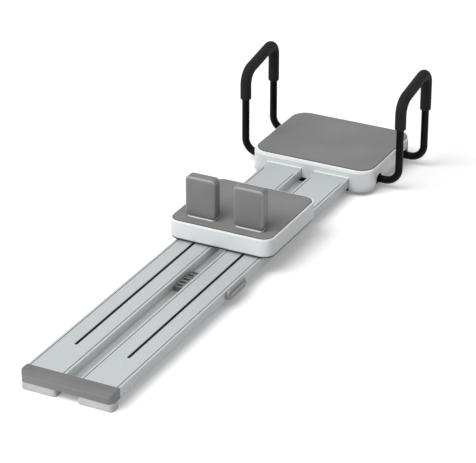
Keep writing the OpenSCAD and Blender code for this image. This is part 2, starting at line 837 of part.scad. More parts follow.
// places of the two posts of one rest
module rest_post_places(s) {
    for (x = [-1, 1]) translate([s * rest_span / 2 + x * post_gap / 2, y_rest, z_car]) children();
}

// holes for all four posts through the carriage's top
module rest_post_holes() {
    for (s = [-1, 1]) rest_post_places(s) translate([0, 0, -wall - mat_sink - cut])
        cylinder(r = post_hole_r, h = wall + mat_sink + mat_t + 2 * cut);
}

// block under the carriage's top that guides a rest's two posts
module rest_socket(s) {
    z1 = z_car - mat_sink - wall;
    color("dimgray") difference() {
        translate([s * rest_span / 2 - post_gap / 2 - 14, y_rest - 13, z_car - post_down - rest_floor])
            cube([post_gap + 28, 26, z1 - z_car + post_down + rest_floor]);
        rest_post_places(s) translate([0, 0, -post_down - 1])
            cylinder(r = post_r + run_gap, h = post_down + 10);
    }
}

module rest_posts(s) {
    color("silver") rest_post_places(s) translate([0, 0, -post_down]) {
        cylinder(r = post_r, h = post_down + post_up - 1);
        cylinder(r = post_r - 1, h = post_down + post_up);
    }
}

module rest_plate(s) {
    color("white") difference() {
        translate([s * rest_span / 2, y_rest, z_mat])
            slab(rest_w - 12, rest_d - 8, rest_plate_t, 10, 1, 0.2);
        rest_post_places(s) translate([0, 0, -10]) cylinder(r = post_r + 0.1, h = 40);
    }
}

// padded block of a shoulder rest: round edges and a slight crown on each face
module rest_pad(s) {
    dx = rest_w / 2 - rest_r;
    dy = rest_d / 2 - rest_r - 1.5;
    z0 = z_mat + rest_plate_t;
    color("gray") difference() {
        translate([s * rest_span / 2, y_rest, z0]) hull() {
            for (x = [-dx, dx], y = [-dy, dy]) {
                translate([x, y, rest_h - rest_r]) sphere(rest_r, $fn = 32);
                translate([x, y, 3]) cylinder(r = rest_r, h = 1, $fn = 32);
                translate([x, y, 0]) cylinder(r = rest_r - 2, h = 1, $fn = 32);
            }
            translate([0, 0, rest_h * 0.52]) rotate([90, 0, 0])
                cylinder(r = rest_w * 0.3, h = rest_d - 0.2, center = true, $fn = 32);
        }
        rest_post_places(s) translate([0, 0, -10]) cylinder(r = post_r + run_gap, h = post_up + 11);
    }
}

front_rail(-1);  // front_rail_left
front_rail(1);  // front_rail_right
front_cap();
front_foot(-1);  // front_foot_left
front_foot(1);  // front_foot_right
front_foot_pads();
hinge_leaf(-1, front_knuckles, front_housing_l, 3);  // front_hinge_leaf
rail_stop(-1, -1);  // front_stop_left
rail_stop(1, -1);  // front_stop_right
front_screws();
back_rail(-1);  // back_rail_left
back_rail(1);  // back_rail_right
hinge_leaf(1, back_knuckles, back_housing_l, 1);  // back_hinge_leaf
hinge_pin();
middle_foot(-1);  // middle_foot_left
middle_foot(1);  // middle_foot_right
side_plate();
rail_stop(-1, 1);  // back_stop_left
rail_stop(1, 1);  // back_stop_right
back_screws();
platform_shell();
platform_mat();
platform_base();
platform_feet();
rail_clamp();
handle_socket(-1);  // handle_socket_left
handle_socket(1);  // handle_socket_right
platform_screws();
handle_tube(-1);  // handle_tube_left
handle_tube(1);  // handle_tube_right
handle_grip(-1);  // handle_grip_left
handle_grip(1);  // handle_grip_right
carriage_shell();
carriage_mat();
carriage_base();
carriage_screws();
bracket(0);  // bracket_1
bracket(1);  // bracket_2
bracket(2);  // bracket_3
bracket(3);  // bracket_4
axle(0);  // axle_1
axle(1);  // axle_2
axle(2);  // axle_3
axle(3);  // axle_4
roller(0);  // roller_1
roller(1);  // roller_2
roller(2);  // roller_3
roller(3);  // roller_4
rest_socket(-1);  // rest_socket_left
rest_socket(1);  // rest_socket_right
rest_posts(-1);  // rest_posts_left
rest_posts(1);  // rest_posts_right
rest_plate(-1);  // rest_plate_left
rest_plate(1);  // rest_plate_right
rest_pad(-1);  // rest_pad_left
rest_pad(1);  // rest_pad_right
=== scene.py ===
# %% [markdown]
# # A pilates reformer board, dressed for its portrait
#
# The solids of the board come ready made: every rail, bolt and bracket is a mesh in metres,
# standing where it stands on the real board. This lesson gives them their looks. It sets up the
# camera, makes a finish for each material of the board, smooths the moulded pieces, and models
# the soft pieces, which are the foam grips and the shoulder pads. The floor and the light come
# last.
#
# X runs across the board, Y along the rails towards the platform, and Z is up. Lengths are in
# metres, and colours are linear red, green and blue.

# %% Open the board
import bpy
import bmesh
import json
import math
from mathutils import Matrix, Vector


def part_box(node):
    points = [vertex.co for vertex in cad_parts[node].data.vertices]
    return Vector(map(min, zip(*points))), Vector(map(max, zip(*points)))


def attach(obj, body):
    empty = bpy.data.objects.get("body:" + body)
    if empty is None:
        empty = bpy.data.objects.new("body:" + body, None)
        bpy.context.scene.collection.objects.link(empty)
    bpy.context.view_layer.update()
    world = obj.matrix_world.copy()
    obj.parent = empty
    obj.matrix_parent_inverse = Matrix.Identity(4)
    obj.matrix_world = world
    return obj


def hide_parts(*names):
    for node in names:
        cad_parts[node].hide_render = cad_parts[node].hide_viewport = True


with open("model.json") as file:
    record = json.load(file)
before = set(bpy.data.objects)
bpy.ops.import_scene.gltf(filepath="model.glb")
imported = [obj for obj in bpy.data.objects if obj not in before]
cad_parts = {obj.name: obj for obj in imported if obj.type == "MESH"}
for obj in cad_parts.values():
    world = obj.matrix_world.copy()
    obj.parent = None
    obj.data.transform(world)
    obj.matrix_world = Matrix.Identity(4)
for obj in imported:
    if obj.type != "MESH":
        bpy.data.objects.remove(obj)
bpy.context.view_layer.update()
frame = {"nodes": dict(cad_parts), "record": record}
nodes = frame["nodes"]

# %% [markdown]
# ## The camera
#
# The photograph was taken with a long lens, from the right of the low end, looking down at about
# 26 degrees. The numbers were found by fitting the straight edges of the rails, the platform and
# the handles. A camera looks along its own -Z, so its turn is built from three directions.

# %% Place the camera
PHOTO_WIDTH = 476
FOCAL_PIXELS = 2191.85
SENSOR_WIDTH = 36.0
FARTHEST_SEEN = 60.0
CAMERA_AT = Vector((2.8132, -5.4426, 3.1475))
YAW = 0.47112
PITCH = 0.46238

level = Vector((-math.sin(YAW), math.cos(YAW), 0.0))
ahead = level * math.cos(PITCH) - Vector((0.0, 0.0, math.sin(PITCH)))
to_right = Vector((math.cos(YAW), math.sin(YAW), 0.0))
upward = to_right.cross(ahead)
camera_data = bpy.data.cameras.new("camera")
camera_data.sensor_width = SENSOR_WIDTH
camera_data.sensor_fit = "HORIZONTAL"
camera_data.lens = FOCAL_PIXELS / PHOTO_WIDTH * SENSOR_WIDTH
camera_data.clip_end = FARTHEST_SEEN
camera = bpy.data.objects.new("camera", camera_data)
bpy.context.collection.objects.link(camera)
turn = Matrix((to_right, upward, -ahead)).transposed().to_4x4()
camera.matrix_world = Matrix.Translation(CAMERA_AT) @ turn
bpy.context.scene.camera = camera
bpy.context.scene.view_settings.view_transform = "Standard"
print("lens:", round(camera_data.lens, 1), "mm")

# %% [markdown]
# ## Small helpers for node trees
#
# A finish is a small network: a texture varies the colour, another the roughness, and a third
# lifts or sinks the surface. Each helper below adds a node or two and hands back the socket that
# the next one needs, so that a finish can be read from top to bottom. A mask is a socket that is
# 1 where a mark belongs and 0 elsewhere; two masks are multiplied to keep what both hold. A
# texture's scale is about how many of its grains lie along one metre, and a relief's depth is in
# metres. A pair of numbers for a mask says where it begins and where it is full.

# %% Start a material, and ask where a point is and which way it faces
def start_material(name, colour, roughness, metallic=0.0):
    material = bpy.data.materials.new(name)
    material.use_nodes = True
    shader = material.node_tree.nodes["Principled BSDF"]
    shader.inputs["Base Color"].default_value = (*colour, 1.0)
    shader.inputs["Roughness"].default_value = roughness
    shader.inputs["Metallic"].default_value = metallic
    return material, material.node_tree, shader


def place(tree, stretch=(1.0, 1.0, 1.0), shift=(0.0, 0.0, 0.0)):
    where = tree.nodes.new("ShaderNodeTexCoord")
    mapping = tree.nodes.new("ShaderNodeMapping")
    mapping.inputs["Scale"].default_value = stretch
    mapping.inputs["Location"].default_value = shift
    tree.links.new(where.outputs["Object"], mapping.inputs["Vector"])
    return mapping.outputs["Vector"]


def position(tree, shift=(0.0, 0.0, 0.0)):
    parts = tree.nodes.new("ShaderNodeSeparateXYZ")
    tree.links.new(place(tree, shift=shift), parts.inputs[0])
    return parts.outputs


def facing(tree):
    where = tree.nodes.new("ShaderNodeTexCoord")
    parts = tree.nodes.new("ShaderNodeSeparateXYZ")
    tree.links.new(where.outputs["Normal"], parts.inputs[0])
    return parts.outputs


# %% Textures
def noise(tree, scale, detail=3.0, stretch=(1.0, 1.0, 1.0), roughness=0.55):
    texture = tree.nodes.new("ShaderNodeTexNoise")
    texture.inputs["Scale"].default_value = scale
    texture.inputs["Detail"].default_value = detail
    texture.inputs["Roughness"].default_value = roughness
    tree.links.new(place(tree, stretch), texture.inputs["Vector"])
    return texture.outputs["Fac"]


def cells(tree, scale):
    texture = tree.nodes.new("ShaderNodeTexVoronoi")
    texture.inputs["Scale"].default_value = scale
    tree.links.new(place(tree), texture.inputs["Vector"])
    return texture.outputs["Distance"]


# %% Sums, ranges and masks
def arithmetic(tree, operation, first, second=0.0):
    node = tree.nodes.new("ShaderNodeMath")
    node.operation = operation
    for socket, value in ((node.inputs[0], first), (node.inputs[1], second)):
        if isinstance(value, (int, float)):
            socket.default_value = value
        else:
            tree.links.new(value, socket)
    return node.outputs["Value"]


def both(tree, first, second):
    return arithmetic(tree, "MULTIPLY", first, second)


def spread(tree, value, low, high, to_low=0.0, to_high=1.0):
    node = tree.nodes.new("ShaderNodeMapRange")
    node.inputs["From Min"].default_value = low
    node.inputs["From Max"].default_value = high
    node.inputs["To Min"].default_value = to_low
    node.inputs["To Max"].default_value = to_high
    tree.links.new(value, node.inputs["Value"])
    return node.outputs["Result"]


def between(tree, value, low, high, soft=0.0002):
    above = spread(tree, value, low - soft, low + soft)
    below = spread(tree, value, high + soft, high - soft)
    return both(tree, above, below)


# %% Colours, laid one over another
def shade(colour, factor, limit=1.0):
    return tuple(min(limit, part * factor) for part in colour)


def blend_colours(tree, amount, first, second):
    node = tree.nodes.new("ShaderNodeMix")
    node.data_type = "RGBA"
    for socket, colour in ((node.inputs[6], first), (node.inputs[7], second)):
        if isinstance(colour, tuple):
            socket.default_value = (*colour, 1.0)
        else:
            tree.links.new(colour, socket)
    tree.links.new(amount, node.inputs[0])
    return node.outputs[2]


def paint(tree, tone, *coats):
    for mask, colour in coats:
        tone = blend_colours(tree, mask, tone, colour)
    return tone


def vary_roughness(tree, shader, pattern, low, high):
    tree.links.new(spread(tree, pattern, 0.3, 0.7, low, high), shader.inputs["Roughness"])


# %% Relief, rounded edges and worn edges
BEVEL_SAMPLES = 4
WORN_AT = 0.75


def soft_edge(tree, radius):
    node = tree.nodes.new("ShaderNodeBevel")
    node.samples = BEVEL_SAMPLES
    node.inputs["Radius"].default_value = radius
    return node.outputs["Normal"]


def relief(tree, height, depth, under=None):
    node = tree.nodes.new("ShaderNodeBump")
    node.inputs["Strength"].default_value = 1.0
    node.inputs["Distance"].default_value = depth
    tree.links.new(height, node.inputs["Height"])
    if under is not None:
        tree.links.new(under, node.inputs["Normal"])
    return node.outputs["Normal"]


def worn_edge(tree, radius):
    rounded = soft_edge(tree, radius)
    flat = tree.nodes.new("ShaderNodeNewGeometry").outputs["True Normal"]
    dot = tree.nodes.new("ShaderNodeVectorMath")
    dot.operation = "DOT_PRODUCT"
    tree.links.new(rounded, dot.inputs[0])
    tree.links.new(flat, dot.inputs[1])
    return spread(tree, dot.outputs["Value"], 1.0, WORN_AT)


# %% [markdown]
# ## The rails: satin anodised aluminium
#
# The rails are extrusions, sandblasted and anodised, so they are pale and satin with a very fine
# speckle, and faint lines run along them where the die has drawn them. A metal takes its colour
# from the base colour and its satin from the roughness. The chambers inside and the two fine
# grooves along each rail are painted dark, as painted shade in these recesses. The outer sides are
# painted a little darker than the rest, as painted shade. The inner sides are painted lighter at
# the top, as a painted sheen, and darker lower down, as painted shade low in the gap between the
# rails. A test of the place in the material picks each out. The places across are counted from the
# middle of the board, so they serve both rails.

# %% Places on the rails
RAIL_MIDDLE = 0.0865
GROOVE_OFF = 0.0543
GROOVE_HALF = 0.0016
GROOVE_HEIGHT = (0.0560, 0.0577)
INNER_SIDE = (0.0242, 0.0236)
OUTER_SIDE = (0.1494, 0.1499)
CHAMBER_ACROSS = (0.0258, 0.1472)
CHAMBER_HEIGHT = (0.0292, 0.0543)
GAP_SHADE_LOW = (0.052, 0.028)

# %% Rail finish
ALUMINIUM = {
    "plain": (0.500, 0.535, 0.553), "light": (0.550, 0.584, 0.600),
    "pit": (0.300, 0.326, 0.340), "glint": (0.720, 0.750, 0.760),
    "drawn": (0.580, 0.612, 0.627), "inner_sheen": (0.800, 0.830, 0.840),
    "darker_low": (0.300, 0.312, 0.318), "outer_shade": (0.360, 0.380, 0.390),
    "chamber": (0.030, 0.031, 0.032), "groove": (0.045, 0.047, 0.050),
}


def rail_finish():
    material, tree, shader = start_material("satin_rail", (0.60, 0.64, 0.66), 0.46, 0.35)
    speckle = noise(tree, 1400.0, 2.0)
    blasted = noise(tree, 380.0, 3.0, roughness=0.8)
    drawn = noise(tree, 1.0, 4.0, (420.0, 2.2, 420.0))
    cloud = noise(tree, 3.0, 2.0)
    where = position(tree)
    across = arithmetic(tree, "ABSOLUTE", where["X"])
    off_middle = arithmetic(tree, "ABSOLUTE", arithmetic(tree, "SUBTRACT", across, RAIL_MIDDLE))
    # Painted shade: the inner sides are painted darker towards the bottom of the gap between the
    # rails.
    darker_low = both(tree, spread(tree, across, *INNER_SIDE),
                 spread(tree, where["Z"], *GAP_SHADE_LOW, 0.0, 0.75))
    # Painted shade: the chambers inside and the fine grooves are painted near black.
    chamber = both(tree, between(tree, where["Z"], *CHAMBER_HEIGHT),
                   between(tree, across, *CHAMBER_ACROSS))
    groove = both(tree, between(tree, where["Z"], *GROOVE_HEIGHT),
                  between(tree, off_middle, GROOVE_OFF - GROOVE_HALF, GROOVE_OFF + GROOVE_HALF))
    tone = paint(tree, ALUMINIUM["plain"],
                 (spread(tree, speckle, 0.3, 0.7), ALUMINIUM["light"]),
                 (spread(tree, blasted, 0.50, 0.66, 0.0, 0.9), ALUMINIUM["pit"]),
                 (spread(tree, blasted, 0.49, 0.34, 0.0, 0.9), ALUMINIUM["glint"]),
                 (spread(tree, drawn, 0.35, 0.65, 0.0, 0.3), ALUMINIUM["drawn"]),
                 # Painted sheen: the inner sides are painted lighter towards the top.
                 (spread(tree, across, *INNER_SIDE, 0.0, 0.55), ALUMINIUM["inner_sheen"]),
                 (darker_low, ALUMINIUM["darker_low"]),
                 # Painted shade: the outer sides are painted darker.
                 (spread(tree, across, *OUTER_SIDE, 0.0, 0.45), ALUMINIUM["outer_shade"]),
                 (chamber, ALUMINIUM["chamber"]),
                 (groove, ALUMINIUM["groove"]))
    tree.links.new(tone, shader.inputs["Base Color"])
    vary_roughness(tree, shader, cloud, 0.42, 0.54)
    grain = arithmetic(tree, "ADD", speckle, both(tree, drawn, 0.6))
    tree.links.new(relief(tree, grain, 0.00006, soft_edge(tree, 0.0006)), shader.inputs["Normal"])
    return material


rail_metal = rail_finish()
print("made", rail_metal.name)

# %% [markdown]
# ## White mouldings
#
# The platform, the carriage and the front feet are injection moulded in white plastic with a
# spark-eroded finish: a soft gloss over a very fine orange peel. Handling leaves the skin a
# little duller in places, and it is darker in noisy patches low down near the floor. The tops and
# the rounded rims are painted brightest, as a painted highlight: the upward part of the piece's own
# normal picks them out. Some walls are painted darker, as painted shade: the platform's front wall,
# and the right walls of the carriage and the front feet. Round the foot of the carriage's tray runs
# a painted black strip, a painted shadow where the tray meets the rails. The strips under the
# shoulder pads are painted a brighter white, as painted light against the shade the pads cast.

# %% White plastic finish
STRIP_HEIGHT = (0.0550, 0.0655)
CARRIAGE_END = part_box("carriage_base")[1][1]
PAST_CARRIAGE = (CARRIAGE_END + 0.001, CARRIAGE_END + 0.002)
NEAR_FLOOR = (0.034, 0.018)
FRONT_WALLS = (-0.60, -0.95)
RIGHT_WALLS = (0.60, 0.95)
TOPS = (0.15, 0.60)
# Painted shade for two kinds of wall, and a painted highlight for the tops.
MOTTLED, FRONT_WALL_SHADE, RIGHT_WALL_SHADE, TOP_HIGHLIGHT = 0.955, 0.84, 0.75, 1.22
WHITEST = 0.93
LOW_GREY = (0.33, 0.33, 0.325)
# The black of a painted shadow along the foot of the carriage's tray.
CONTACT_SHADOW_BLACK = (0.035, 0.035, 0.035)


def white_finish(name, colour, gloss):
    material, tree, shader = start_material(name, colour, gloss)
    peel = noise(tree, 900.0, 2.0)
    handled = noise(tree, 9.0, 4.0)
    mottled = noise(tree, 26.0, 3.0)
    where, faces = position(tree), facing(tree)
    beyond = spread(tree, where["Y"], *PAST_CARRIAGE)
    on_carriage = arithmetic(tree, "SUBTRACT", 1.0, beyond)
    # Painted shade: the platform's front wall is painted darker.
    front_wall_shade = both(tree, spread(tree, faces["Y"], *FRONT_WALLS), beyond)
    # Painted shade: the right walls of the carriage and the front feet are painted darker.
    right_wall_shade = both(tree, spread(tree, faces["X"], *RIGHT_WALLS), on_carriage)
    # Darker in noisy patches towards the floor.
    darker_low = both(tree, spread(tree, where["Z"], *NEAR_FLOOR), handled)
    # Painted shadow: a black band along the foot of the carriage's tray, where it meets the rails.
    contact_shadow = both(tree, between(tree, where["Z"], *STRIP_HEIGHT), on_carriage)
    tone = paint(tree, colour,
                 (spread(tree, mottled, 0.35, 0.7, 0.0, 0.5), shade(colour, MOTTLED)),
                 (front_wall_shade, shade(colour, FRONT_WALL_SHADE)),
                 (right_wall_shade, shade(colour, RIGHT_WALL_SHADE)),
                 # Painted highlight: the tops and the rounded rims are painted lighter.
                 (spread(tree, faces["Z"], *TOPS), shade(colour, TOP_HIGHLIGHT, WHITEST)),
                 (darker_low, LOW_GREY),
                 (contact_shadow, CONTACT_SHADOW_BLACK))
    tree.links.new(tone, shader.inputs["Base Color"])
    vary_roughness(tree, shader, handled, gloss - 0.05, gloss + 0.09)
    tree.links.new(relief(tree, peel, 0.00003, soft_edge(tree, 0.0009)), shader.inputs["Normal"])
    return material


white_plastic = white_finish("white_moulding", (0.74, 0.77, 0.78), 0.36)
# Painted light: this brighter copy of the white finish offsets the shade that the shoulder pads
# cast on their strips.
white_trim = white_finish("bright_trim", (0.92, 0.93, 0.93), 0.30)
print("made", white_plastic.name, "and", white_trim.name)

# %% [markdown]
# ## Grey pieces
#
# Three greys look alike in the photograph but are different stuff. The end cap is textured
# plastic, the hinge parts are powder-coated metal, and the mats are a thin non-slip sheet whose
# surface is a close pattern of tiny pits. Each gets its own relief. The plastic and the metal wear
# lighter along their edges, and the cap's walls are painted paler, as painted light. A mat has a
# painted dark rim, as painted shade of the seam round it: the distance to its rounded outline is
# worked out from the place on the mat. The capsule plate on the right side has a raised band that
# is painted a paler grey, as a painted highlight, and the hinge's housing between the rails is
# painted darker, as painted shade, most of all in its pockets.

# %% Places and colours on the grey pieces
BAND = (0.1597, 0.1600)
# A painted highlight.
BAND_HIGHLIGHT = (0.36, 0.355, 0.355)
HOUSING_HALF = 0.0240
# Painted shade between the rails.
HOUSING_SHADE = (0.185, 0.182, 0.182)
POCKET_FLOOR = (0.0250, 0.0258)
POCKET_TOP = (0.0410, 0.0380)
# Painted shade in the pockets, darker still.
POCKET_SHADE = (0.085, 0.084, 0.084)
CAP_WALLS = (0.60, 0.30)
# Painted light on the cap's walls.
CAP_WALL_LIGHT = (0.215, 0.216, 0.217)
MAT_CORNERS = {"carriage_mat": 0.034, "platform_mat": 0.051}
MAT_RIM = (-0.0026, -0.0014)
# Painted shade for the seam round each mat.
RIM_SHADE = (0.060, 0.060, 0.060)


# %% How far a point is from a mat's outline
def rim_distance(tree, mat):
    low, high = (Vector(c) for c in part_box(mat))
    centre = (low + high) / 2
    where = position(tree, (-centre.x, -centre.y, 0.0))
    squares = []
    for axis, half in (("X", (high.x - low.x) / 2), ("Y", (high.y - low.y) / 2)):
        out = arithmetic(tree, "ABSOLUTE", where[axis])
        out = arithmetic(tree, "SUBTRACT", out, half - MAT_CORNERS[mat])
        out = arithmetic(tree, "MAXIMUM", out, 0.0)
        squares.append(arithmetic(tree, "POWER", out, 2.0))
    length = arithmetic(tree, "SQRT", arithmetic(tree, "ADD", *squares))
    return arithmetic(tree, "SUBTRACT", length, MAT_CORNERS[mat])


# Painted shade: a dark band just inside each mat's outline, for the seam between the mat and the
# shell.
def mat_rim(tree):
    near = arithmetic(tree, "MINIMUM", *(rim_distance(tree, mat) for mat in MAT_CORNERS))
    return spread(tree, near, *MAT_RIM)


# %% The hinge's painted highlight and painted shade
def hinge_light_and_shade(tree, tone):
    where = position(tree)
    # Painted highlight: the capsule's raised band is painted paler.
    band = spread(tree, where["X"], *BAND)
    # Painted shade: the housing between the rails is painted darker, and its pockets darker still.
    housing = between(tree, where["X"], -HOUSING_HALF, HOUSING_HALF)
    deep = both(tree, spread(tree, where["Z"], *POCKET_TOP),
                spread(tree, where["Z"], *POCKET_FLOOR))
    return paint(tree, tone, (band, BAND_HIGHLIGHT), (housing, HOUSING_SHADE),
                 (both(tree, housing, deep), POCKET_SHADE))


# %% Grey finishes
DARKER, LIGHTER, PITTED, WORN = 0.90, 1.10, 0.72, 1.9


def grey_finish(name, colour, roughness, pit_scale, pit_depth, edge, kind):
    material, tree, shader = start_material(name, colour, roughness)
    pits = cells(tree, pit_scale)
    grain = noise(tree, pit_scale * 1.7, 3.0)
    used = noise(tree, 7.0, 5.0)
    tone = paint(tree, shade(colour, DARKER),
                 (spread(tree, used, 0.35, 0.65), shade(colour, LIGHTER)))
    if kind == "hinge":
        tone = hinge_light_and_shade(tree, tone)
    tone = paint(tree, tone, (spread(tree, pits, 0.0, 0.5, 0.45, 0.0), shade(colour, PITTED)))
    if kind == "cap":
        # Painted light: the cap's walls are painted paler.
        lit_walls = spread(tree, facing(tree)["Z"], *CAP_WALLS)
        tone = paint(tree, tone, (lit_walls, CAP_WALL_LIGHT))
    if kind == "mat":
        tone = paint(tree, tone, (mat_rim(tree), RIM_SHADE))
    else:
        tone = paint(tree, tone, (both(tree, worn_edge(tree, edge), 0.45), shade(colour, WORN)))
    tree.links.new(tone, shader.inputs["Base Color"])
    vary_roughness(tree, shader, used, roughness - 0.06, roughness + 0.08)
    height = arithmetic(tree, "ADD", pits, both(tree, grain, 0.5))
    tree.links.new(relief(tree, height, pit_depth, soft_edge(tree, edge)), shader.inputs["Normal"])
    return material


grey_cap = grey_finish("cap_plastic", (0.163, 0.164, 0.165), 0.74, pit_scale=700.0,
                       pit_depth=0.00012, edge=0.0008, kind="cap")
hinge_grey = grey_finish("hinge_coating", (0.255, 0.250, 0.250), 0.50, pit_scale=1100.0,
                         pit_depth=0.00005, edge=0.0006, kind="hinge")
grey_mat = grey_finish("mat_sheet", (0.207, 0.207, 0.206), 0.70, pit_scale=520.0,
                       pit_depth=0.00014, edge=0.0006, kind="mat")
print("made the grey finishes")

# %% [markdown]
# ## Black, steel and the small stuff
#
# The handles are black powder-coated tube, which shines little. Screws, pins and posts are bright
# steel with a fine grain; the roller brackets are zinc plated plate with a cloudy spangle. The
# rubber soles and the dark plastic inside are plain and matt.

# %% Dark and metal finishes
METAL_SHINE = 0.5
DULL_SHINE = 0.09


def coat_finish(name, colour, roughness, grain, depth, metallic=0.0, tint=1.4):
    material, tree, shader = start_material(name, colour, roughness, metallic)
    peel = noise(tree, grain, 3.0)
    cloud = noise(tree, 14.0, 4.0)
    tone = paint(tree, colour, (spread(tree, cloud, 0.35, 0.7), shade(colour, tint)))
    tree.links.new(tone, shader.inputs["Base Color"])
    vary_roughness(tree, shader, cloud, roughness - 0.06, roughness + 0.08)
    tree.links.new(relief(tree, peel, depth, soft_edge(tree, 0.0005)), shader.inputs["Normal"])
    shader.inputs["Specular IOR Level"].default_value = METAL_SHINE if metallic else DULL_SHINE
    return material


black_tube = coat_finish("black_coating", (0.0022, 0.0022, 0.0023), 0.32,
                         grain=700.0, depth=0.00008)
black_rubber = coat_finish("black_rubber", (0.016, 0.016, 0.016), 0.75,
                           grain=500.0, depth=0.00012)
dark_plastic = coat_finish("dark_plastic", (0.035, 0.035, 0.037), 0.50,
                           grain=800.0, depth=0.00005)
roller_grey = coat_finish("roller_plastic", (0.055, 0.056, 0.060), 0.38,
                          grain=600.0, depth=0.00004)
bright_steel = coat_finish("bright_steel", (0.56, 0.57, 0.58), 0.30,
                           grain=300.0, depth=0.00002, metallic=1.0, tint=1.08)
plate_steel = coat_finish("zinc_plate", (0.50, 0.51, 0.53), 0.42,
                          grain=90.0, depth=0.00002, metallic=1.0, tint=1.15)
print("made the dark and metal finishes")

# %% [markdown]
# ## Smooth, merged skins over the moulded pieces
#
# A solid arrives as loose triangles, so a rounded edge would show every facet. A skin is a copy
# of the piece whose triangles are joined, with soft shading across gentle angles and sharp
# shading across real edges. It stands for the solid and keeps its shape: only points that lie
# within two thousandths of a millimetre of each other are joined.

# %% Make a skin from a piece
FINISH = {
    "rail_metal": rail_metal, "white_plastic": white_plastic, "white_trim": white_trim,
    "grey_cap": grey_cap, "hinge_grey": hinge_grey, "grey_mat": grey_mat,
    "black_tube": black_tube, "black_rubber": black_rubber, "roller_grey": roller_grey,
    "bright_steel": bright_steel, "plate_steel": plate_steel, "dark_plastic": dark_plastic,
}
SAME_POINT = 0.000002
SHARP_FROM = math.radians(32.0)
slot_of = {s["node"]: s["material_slot"] for s in frame["record"]["subparts"]}
body_of = {n: b for b, names in frame["record"]["behaviour"]["bodies"].items() for n in names}


def skin(node):
    mesh = nodes[node].data.copy()
    piece = bpy.data.objects.new(node + "_skin", mesh)
    bpy.context.collection.objects.link(piece)
    shape = bmesh.new()
    shape.from_mesh(mesh)
    bmesh.ops.remove_doubles(shape, verts=shape.verts, dist=SAME_POINT)
    for face in shape.faces:
        face.smooth = True
    for edge in shape.edges:
        edge.smooth = len(edge.link_faces) == 2 and edge.calc_face_angle(0.0) < SHARP_FROM
    shape.to_mesh(mesh)
    shape.free()
    mesh.materials.clear()
    mesh.materials.append(FINISH[slot_of[node]])
    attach(piece, body_of[node])
    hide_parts(node)


# %% Skin every hard piece
SOFT = ("handle_grip_left", "handle_grip_right", "rest_pad_left", "rest_pad_right")
hard = [name for name in nodes if name not in SOFT]
for name in hard:
    skin(name)
print("skins:", len(hard))

# %% [markdown]
# ## From a drawn shape to a piece
#
# The drawing tools number points and faces in an order that changes from run to run. So that the
# mesh comes out the same each time, the points are put in order of their places and each face
# starts at its first point.

# %% Turn a drawn shape into a smooth piece
def smooth_piece(name, shape, finish):
    points = sorted(shape.verts, key=lambda vert: tuple(round(c, 6) for c in vert.co))
    number = {vert: i for i, vert in enumerate(points)}
    rings = []
    for face in shape.faces:
        ring = [number[vert] for vert in face.verts]
        first = ring.index(min(ring))
        rings.append(ring[first:] + ring[:first])
    mesh = bpy.data.meshes.new(name)
    mesh.from_pydata([vert.co for vert in points], [], sorted(rings), shade_flat=False)
    shape.free()
    mesh.materials.append(finish)
    piece = bpy.data.objects.new(name, mesh)
    bpy.context.collection.objects.link(piece)
    return piece


# %% [markdown]
# ## The foam grips
#
# A length of foam hose is pushed along each bent handle, so it follows the two upper bends. Its
# section is round and its cut ends are slightly rounded. On the inside of each bend the foam is
# squeezed and bunches into shallow creases, which fade out towards the straight runs. A ring of
# points is drawn along the loop, extruded for the straight runs and spun for the bends, and the
# creases are pressed in afterwards.

# %% The foam's finish
FOAM_DARK = (0.0038, 0.0038, 0.0038)
FOAM_RUBBED = (0.0110, 0.0110, 0.0108)
FOAM_PORE = (0.004, 0.004, 0.004)
FOAM_SHINE = 0.26


def foam_finish():
    material, tree, shader = start_material("black_foam", (0.009, 0.009, 0.009), 0.82)
    pores = cells(tree, 1500.0)
    skin_grain = noise(tree, 260.0, 4.0)
    rubbed_and_highlit = noise(tree, 16.0, 4.0)
    tone = paint(tree, FOAM_DARK,
                 (spread(tree, rubbed_and_highlit, 0.35, 0.7), FOAM_RUBBED),
                 (spread(tree, pores, 0.0, 0.4, 0.5, 0.0), FOAM_PORE))
    tree.links.new(tone, shader.inputs["Base Color"])
    vary_roughness(tree, shader, rubbed_and_highlit, 0.70, 0.90)
    shader.inputs["Specular IOR Level"].default_value = FOAM_SHINE
    height = arithmetic(tree, "ADD", pores, both(tree, skin_grain, 0.8))
    tree.links.new(relief(tree, height, 0.00022), shader.inputs["Normal"])
    return material


black_foam = foam_finish()
print("made", black_foam.name)

# %% The loop that the foam follows
GRIP_RADIUS = 0.01875
TUBE_RADIUS = 0.0127
LOOP_X = 0.2855
LEG_FRONT_Y = 0.6995
LEG_BACK_Y = 0.9145
CORNER_FRONT = 0.318
CORNER_BACK = 0.356
FOAM_LOW_FRONT = 0.224
FOAM_LOW_BACK = 0.214
BEND_FRONT = 0.052
BEND_BACK = 0.036
SLOPE = math.atan2(CORNER_BACK - CORNER_FRONT, LEG_BACK_Y - LEG_FRONT_Y)
TURN_FRONT = math.pi / 2 - SLOPE
TURN_BACK = math.pi / 2 + SLOPE
RUN_FRONT = BEND_FRONT * math.tan(TURN_FRONT / 2)
RUN_BACK = BEND_BACK * math.tan(TURN_BACK / 2)
BAR = (LEG_BACK_Y - LEG_FRONT_Y) / math.cos(SLOPE) - RUN_FRONT - RUN_BACK

# %% How finely the foam is drawn, and its rounded cut end
RING_POINTS = 56
BEND_STEPS = 44
LEG_STEPS = 6
BAR_STEPS = 8
BACK_STEPS = 7
TOUCHING = 0.00001
HOLE = 1.01
DIMPLE = 0.0006
DIMPLE_OUT = 1.22
DIMPLE_IN = 1.30
END_RINGS = ((0.0004, 1.12), (0.0012, 1.055), (0.0022, 1.025))
END_RUN = 0.002
END_LENGTH = END_RUN + sum(rise for rise, _ in END_RINGS)


